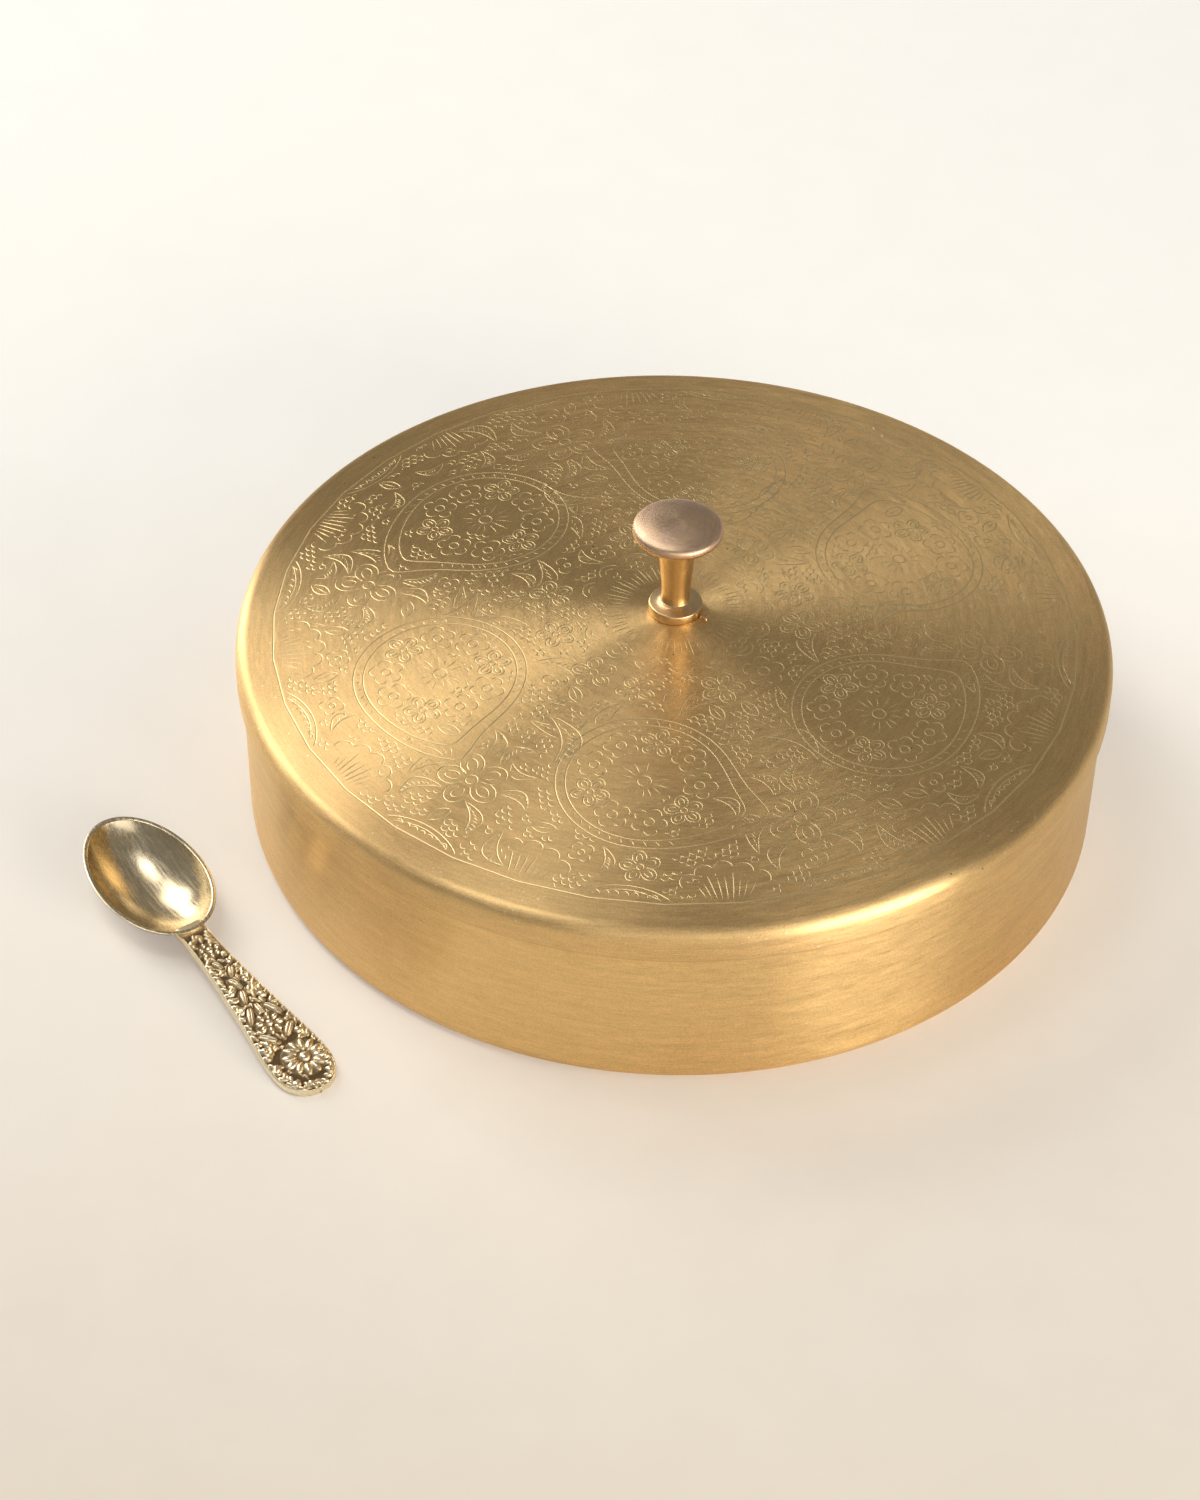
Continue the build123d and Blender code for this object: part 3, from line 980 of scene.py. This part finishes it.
# Spoon, drawn with its neck at the origin, its bowl along +X and its rim at Z = 0. Its tilt
# is found as in the CAD model: the worn bowl and the worn end of the handle both lie flat.
egg_radius = (BOWL_HALF**2 + BOWL_DROP**2) / (2 * BOWL_DROP)
egg_height = egg_radius - BOWL_DROP
egg_near, egg_far = BOWL_NEAR * egg_radius / BOWL_HALF, BOWL_FAR * egg_radius / BOWL_HALF
handle_below = egg_height + HANDLE_THICK + HANDLE_STEP
tilt = 0.0
for _ in range(6):
    bowl_reach = hypot(egg_near * sin(tilt), egg_radius * cos(tilt))
    fall = bowl_reach - BOWL_WORN + HANDLE_WORN - handle_below * cos(tilt)
    tilt = asin(fall / (BOWL_NEAR + HANDLE_LENGTH))
spoon_level = bowl_reach - BOWL_WORN - egg_height * cos(tilt) - BOWL_NEAR * sin(tilt)


def lay_down(verts):
    """The spoon's points, tilted, turned and put where it lies, with none below the surface."""
    x, y, z = np.asarray(verts, float).T
    level = np.maximum(x * sin(tilt) + z * cos(tilt) + spoon_level, 0.02)
    x, y = rotated(x * cos(tilt) - z * sin(tilt), y, SPOON_BEARING)
    return np.column_stack([SPOON_AT[0] + x, SPOON_AT[1] + y, level])


def bowl_rings(wall, shares, rise=0.0):
    """Rings of the bowl's skin, drawn in by the wall, at shares of its width."""
    t = np.arange(128) * TAU / 128
    radius = egg_radius - wall
    half = sqrt(radius**2 - egg_height**2)
    near, far = (egg_near - wall) * half / radius, (egg_far - wall) * half / radius
    rings = []
    for share in shares:
        z = egg_height - sqrt(radius**2 - (share * half) ** 2) + rise
        reach = np.where(np.cos(t) < 0, near * share, far * share)
        x, y = BOWL_NEAR + reach * np.cos(t), half * share * np.sin(t)
        rings.append(np.column_stack([x, y, np.full(len(t), z)]))
    return rings


shares = np.sin(np.linspace(0.01, 1.0, 26) * pi / 2)[:-1]
bowl_lip = bowl_rings(0.0, [0.9985]) + bowl_rings(0.12, [1.0])
bowl_lip += bowl_rings(0.45, [1.0], rise=0.1) + bowl_rings(BOWL_WALL - 0.12, [1.0])
bowl_sections = bowl_rings(0.0, shares) + bowl_lip + bowl_rings(BOWL_WALL, shares[::-1])
bowl_verts, bowl_faces = rings_mesh(bowl_sections)
bowl = add_piece("spoon_bowl", lay_down(bowl_verts), bowl_faces, [BOWL])
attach(bowl, "spoon")
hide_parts("spoon")


# Handle. Its outline is given at 55 mm long and scaled to the handle's length.
OUTLINE_LENGTH = 55.0
OUTLINE_AT = (-4, 0, 6, 12, 20, 27, 33, 38, 43, 46, 48, 50, 51.5, 53, 54, 54.6, 55)
OUTLINE_HALF = (3.5, 3.5, 3.6, 3.9, 4.6, 5.3, 6.0, 6.7, 7.2, 7.3, 7.2, 6.75, 6.1, 5.0, 3.7, 2.4, 0.4)

# Beads of the relief: x, y, radius
BEADS = (
    (-37.4, 3.6, 1.1), (-38.6, 5.2, 0.9), (-50.2, 4.0, 1.1), (-51.6, 1.2, 0.9),
    (-37.2, -4.3, 1.0), (-50.4, -4.4, 1.1), (-26.4, 3.3, 0.95), (-24.0, -3.0, 0.95),
    (-20.6, 2.6, 0.8), (-18.2, -2.2, 0.8), (-11.5, -1.8, 0.7),
)
# Leaves of the relief: x, y, half length, half width, angle
LEAVES = (
    (-28.4, 2.6, 2.8, 1.0, 2.7), (-28.0, -0.2, 2.6, 0.95, 3.1), (-28.8, -3.0, 2.6, 1.0, 3.6),
    (-36.0, 2.6, 2.3, 0.95, 0.8), (-35.6, -3.0, 2.5, 1.0, -0.8), (-22.8, 0.9, 2.4, 0.95, 2.8),
    (-18.4, 0.4, 2.2, 0.9, 0.4), (-14.6, -0.8, 2.0, 0.85, -0.5), (-11.6, 0.9, 1.7, 0.8, 0.4),
)
# Flowers of the relief: x, y, radius of the middle, petals from and to, count, turn, half width
FLOWERS = (
    (-44.4, -1.6, 1.4, 1.7, 5.3, 12, 0.2, 0.95),
    (-32.2, 0.0, 0.95, 1.2, 3.3, 8, 0.5, 0.66),
    (-6.6, 0.0, 0.95, 1.2, 2.5, 7, 0.3, 0.6),
)


def handle_half_width(x):
    """Half the handle's width at x, from the neck at 0 to the end at -HANDLE_LENGTH."""
    return np.interp(-np.asarray(x) * OUTLINE_LENGTH / HANDLE_LENGTH, OUTLINE_AT, OUTLINE_HALF)


def mound(x, y, cx, cy, length, width, angle):
    """A rounded mound with a long axis, 1 at its top and 0 outside."""
    along, across = rotated(x - cx, y - cy, -angle)
    return np.sqrt(np.clip(1 - (along / length) ** 2 - (across / width) ** 2, 0, 1))


def add_leaf(h, x, y, cx, cy, length, width, angle):
    """A leaf with a groove along it, in ground cut down round it."""
    near = mound(x, y, cx, cy, length * 1.1, width * 1.25, angle)
    h = np.where(near > 0, 0.1, h)
    groove = 0.55 * np.exp(-((rotated(x - cx, y - cy, -angle)[1] / 0.16) ** 2))
    return np.maximum(h, mound(x, y, cx, cy, length, width, angle) * (1 - groove) * 0.95)


def add_flower(h, x, y, cx, cy, middle, inner, outer, count, turn, wide):
    """Petals round a boss, in ground cut down round them."""
    h = np.where(mound(x, y, cx, cy, outer, outer, 0.0) > 0, 0.12, h)
    reach = (inner + outer) / 2
    for k in range(count):
        a = turn + k * TAU / count
        px, py = cx + reach * cos(a), cy + reach * sin(a)
        h = np.maximum(h, mound(x, y, px, py, (outer - inner) / 2, wide, a) * 0.9)
    return np.maximum(h, mound(x, y, cx, cy, middle, middle, 0.0))


def handle_relief(x, y):
    """How high the casting's flowers and leaves stand, from 0 in the ground to 1."""
    pick = random.Random(5)
    forms = []
    for _ in range(150):
        cx = -pick.uniform(1, 53)
        room = float(handle_half_width(cx)) - 0.8
        cy = pick.uniform(-room, room)
        size = pick.uniform(0.8, 1.7), pick.uniform(0.45, 0.8)
        forms.append((cx, cy, *size, pick.uniform(0, pi), pick.uniform(0.45, 0.75)))
    for side in (-1, 1):
        cx = -9.0
        while cx > -51.0:
            cx -= pick.uniform(1.7, 2.5)
            cy = side * (float(handle_half_width(cx)) - 1.1)
            lean = side * pick.uniform(0.5, 1.0)
            forms.append((cx, cy, pick.uniform(1.1, 1.5), 0.62, lean, 0.8))
    forms += [(cx, cy, size, size, 0.0, 0.98) for cx, cy, size in BEADS]
    h = np.zeros_like(x)
    for *shape, height in forms:
        h = np.maximum(h, mound(x, y, *shape) * height)
    for row in LEAVES:
        h = add_leaf(h, x, y, *row)
    for row in FLOWERS:
        h = add_flower(h, x, y, *row)
    for k in range(15):
        a = pi + (k - 7) * 0.235
        ring = 6.1 + 2.4 * max(0.0, -cos(a)) ** 2
        px, py = FLOWERS[0][0] + ring * cos(a), 6.0 * sin(a) - 0.4
        h = np.maximum(h, mound(x, y, px, py, 1.1, 0.62, a + 0.5) * 0.85)
    rim = np.exp(-(((handle_half_width(x) - np.abs(y) - 0.3) / 0.34) ** 2))
    return np.clip(np.maximum(h, 0.7 * rim), 0, 1)


def handle_rings():
    """The handle's cross-sections from the bowl to the end, and each point's part in the relief.

    Each runs over the top, down one side, back along the bottom and up the other side.
    """
    end_length, camber_middle, camber_reach = 7.0, -24.9, 28.9
    body_end = OUTLINE_LENGTH - end_length
    near_end = OUTLINE_LENGTH - end_length * (1 - np.sin(np.linspace(0, pi / 2, 60)))
    places = np.concatenate([np.linspace(-3.0, body_end, 330, endpoint=False), near_end])
    places = -places * HANDLE_LENGTH / OUTLINE_LENGTH
    across = np.linspace(-1, 1, 110)
    half = handle_half_width(places)
    x = np.repeat(places[:, None], len(across), axis=1)
    y = across[None] * (half[:, None] - 0.22)
    relief = handle_relief(x, y)
    calm = np.clip((-places + 0.6) / 1.5, 0, 1)
    top = HANDLE_CAMBER * (1 - ((places - camber_middle) / camber_reach) ** 2) - HANDLE_STEP
    z = top[:, None] - 0.9 + relief * calm[:, None] + 0.35 * (1 - calm[:, None])
    z -= 0.35 * np.abs(across[None]) ** 10
    side = np.array([0.12, 0.4, 0.75, 0.95])
    rings, shades = [], []
    for i, px in enumerate(places):
        down = top[i] - 1.0 - side * (HANDLE_THICK - 1.1)
        bulge = half[i] - 0.08 * (2 * side - 1) ** 2
        bottom = np.linspace(1, -1, 12) * (half[i] - 0.35)
        xs = np.concatenate([x[i], np.full(20, px)])
        ys = np.concatenate([y[i], bulge, bottom, -bulge[::-1]])
        zs = np.concatenate([z[i], down, np.full(12, top[i] - HANDLE_THICK), down[::-1]])
        rings.append(np.column_stack([xs, ys, zs]))
        shade = relief[i] * calm[i] + (1 - calm[i]) * 0.5
        shades.append(np.concatenate([shade, np.repeat([0.8, 0.5, 0.8], [4, 12, 4])]))
    return rings, np.concatenate(shades)


handle_sections, handle_lift = handle_rings()
handle_verts, handle_faces = rings_mesh(handle_sections)
handle = add_piece("spoon_handle", lay_down(handle_verts), handle_faces, [CAST])
layer = handle.data.attributes.new("relief", "FLOAT", "POINT")
layer.data.foreach_set("value", handle_lift)
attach(handle, "spoon")


# Floor
FLOOR_HALF = 4000.0


def paper():
    """Pale paper. A glow that only the camera and reflections see grows towards its far side."""
    made, tree = new_material("paper")
    place = object_place(tree)
    fibre = remap(noise(place, 60.0, 3.0), SPREAD)
    colour = blend_colour(fibre, (0.83, 0.775, 0.68, 1), (0.85, 0.795, 0.7, 1))
    values = {"Roughness": 0.9, "Specular IOR Level": 0.1, "Base Color": colour}
    shader = node(tree, "BsdfPrincipled", values)
    rays = node(tree, "LightPath").outputs
    seen = maths("MULTIPLY_ADD", rays["Is Glossy Ray"], 0.4, rays["Is Camera Ray"])
    split = node(tree, "SeparateXYZ", {0: place})
    fade = remap(split.outputs[1], (-0.25, 0.12))
    glow = blend_colour(fade, (0.02, 0.0, 0.0, 1), (0.29, 0.32, 0.35, 1))
    lift = node(tree, "Emission", {"Color": glow, "Strength": seen})
    both = node(tree, "AddShader", {0: shader.outputs[0], 1: lift.outputs[0]})
    node(tree, "OutputMaterial", {0: both.outputs[0]})
    return made


floor_verts = np.array([(-1, -1, 0), (1, -1, 0), (1, 1, 0), (-1, 1, 0)]) * FLOOR_HALF
floor = add_piece("floor", floor_verts, [(0, 1, 2, 3)], [paper()], smooth=False)


# Light
LIGHT_AIM = Vector((0, 0, 0.04))
# Rectangular area lights that face the box: name, direction, distance, size, power, colour
LIGHTS = (
    ("key", (-0.6, 0.42, 0.62), 1.6, (0.9, 0.9), 9.0, (1.0, 0.97, 0.92)),
    ("top", (-0.3, 0.0, 0.95), 1.5, (0.5, 0.5), 3.2, (1.0, 0.97, 0.93)),
    ("right", (0.72, -0.69, 0.16), 1.3, (0.8, 0.8), 16, (1.0, 0.96, 0.9)),
    ("front", (0.1, -0.86, 0.5), 1.6, (1.2, 0.8), 4.2, (1.0, 0.95, 0.88)),
    ("left", (-0.68, 0.72, 0.18), 1.4, (0.4, 0.7), 4.0, (1.0, 0.97, 0.92)),
)
for name, direction, distance, size, power, colour in LIGHTS:
    softbox = bpy.data.lights.new(name, "AREA")
    softbox.shape, softbox.energy, softbox.color = "RECTANGLE", power, colour
    softbox.size, softbox.size_y = size
    light = add_object(name, softbox)
    away = Vector(direction).normalized()
    light.location = away * distance + LIGHT_AIM
    light.rotation_euler = away.to_track_quat("Z", "Y").to_euler()

world = bpy.data.worlds.new("studio")
bpy.context.scene.world = world
world.use_nodes = True
backdrop = world.node_tree.nodes["Background"]
backdrop.inputs["Color"].default_value = (0.97, 0.92, 0.84, 1)
backdrop.inputs["Strength"].default_value = 0.26

# Camera, fitted to the photograph. Focal length and aim are in its pixels.
PHOTO_WIDTH, PHOTO_HEIGHT = 1200, 1500
ELEVATION, ROLL = radians(39.77), radians(1.94)
FOCAL, AIM_X, AIM_Y = 4000.0, 674.5, 630.6
DISTANCE = 924.0  # in millimetres, to the point at the dome's foot on the axis
SENSOR = 36.0

forward = np.array([0, cos(ELEVATION), -sin(ELEVATION)])
right, down = np.array([1, 0, 0]), np.array([0, -sin(ELEVATION), -cos(ELEVATION)])
rolled = np.array([[cos(ROLL), -sin(ROLL), 0], [sin(ROLL), cos(ROLL), 0], [0, 0, 1]])
aim = Vector(((AIM_X - PHOTO_WIDTH / 2) / FOCAL, (AIM_Y - PHOTO_HEIGHT / 2) / FOCAL, 1))
swing = np.array(Vector((0, 0, 1)).rotation_difference(aim.normalized()).to_matrix())
axes = swing @ rolled @ np.array([right, down, forward])
where = (-forward * DISTANCE + (0, 0, LID_HEIGHT)) * MM
basis = np.column_stack([axes[0], -axes[1], -axes[2], where])
camera_data = bpy.data.cameras.new("camera")
camera_data.sensor_width, camera_data.lens = SENSOR, SENSOR * FOCAL / PHOTO_HEIGHT
camera_data.clip_start, camera_data.clip_end = 0.05, 20.0
camera = add_object("camera", camera_data)
camera.matrix_world = Matrix([*basis.tolist(), (0, 0, 0, 1)])
bpy.context.scene.camera = camera
bpy.context.scene.view_settings.view_transform = "Standard"
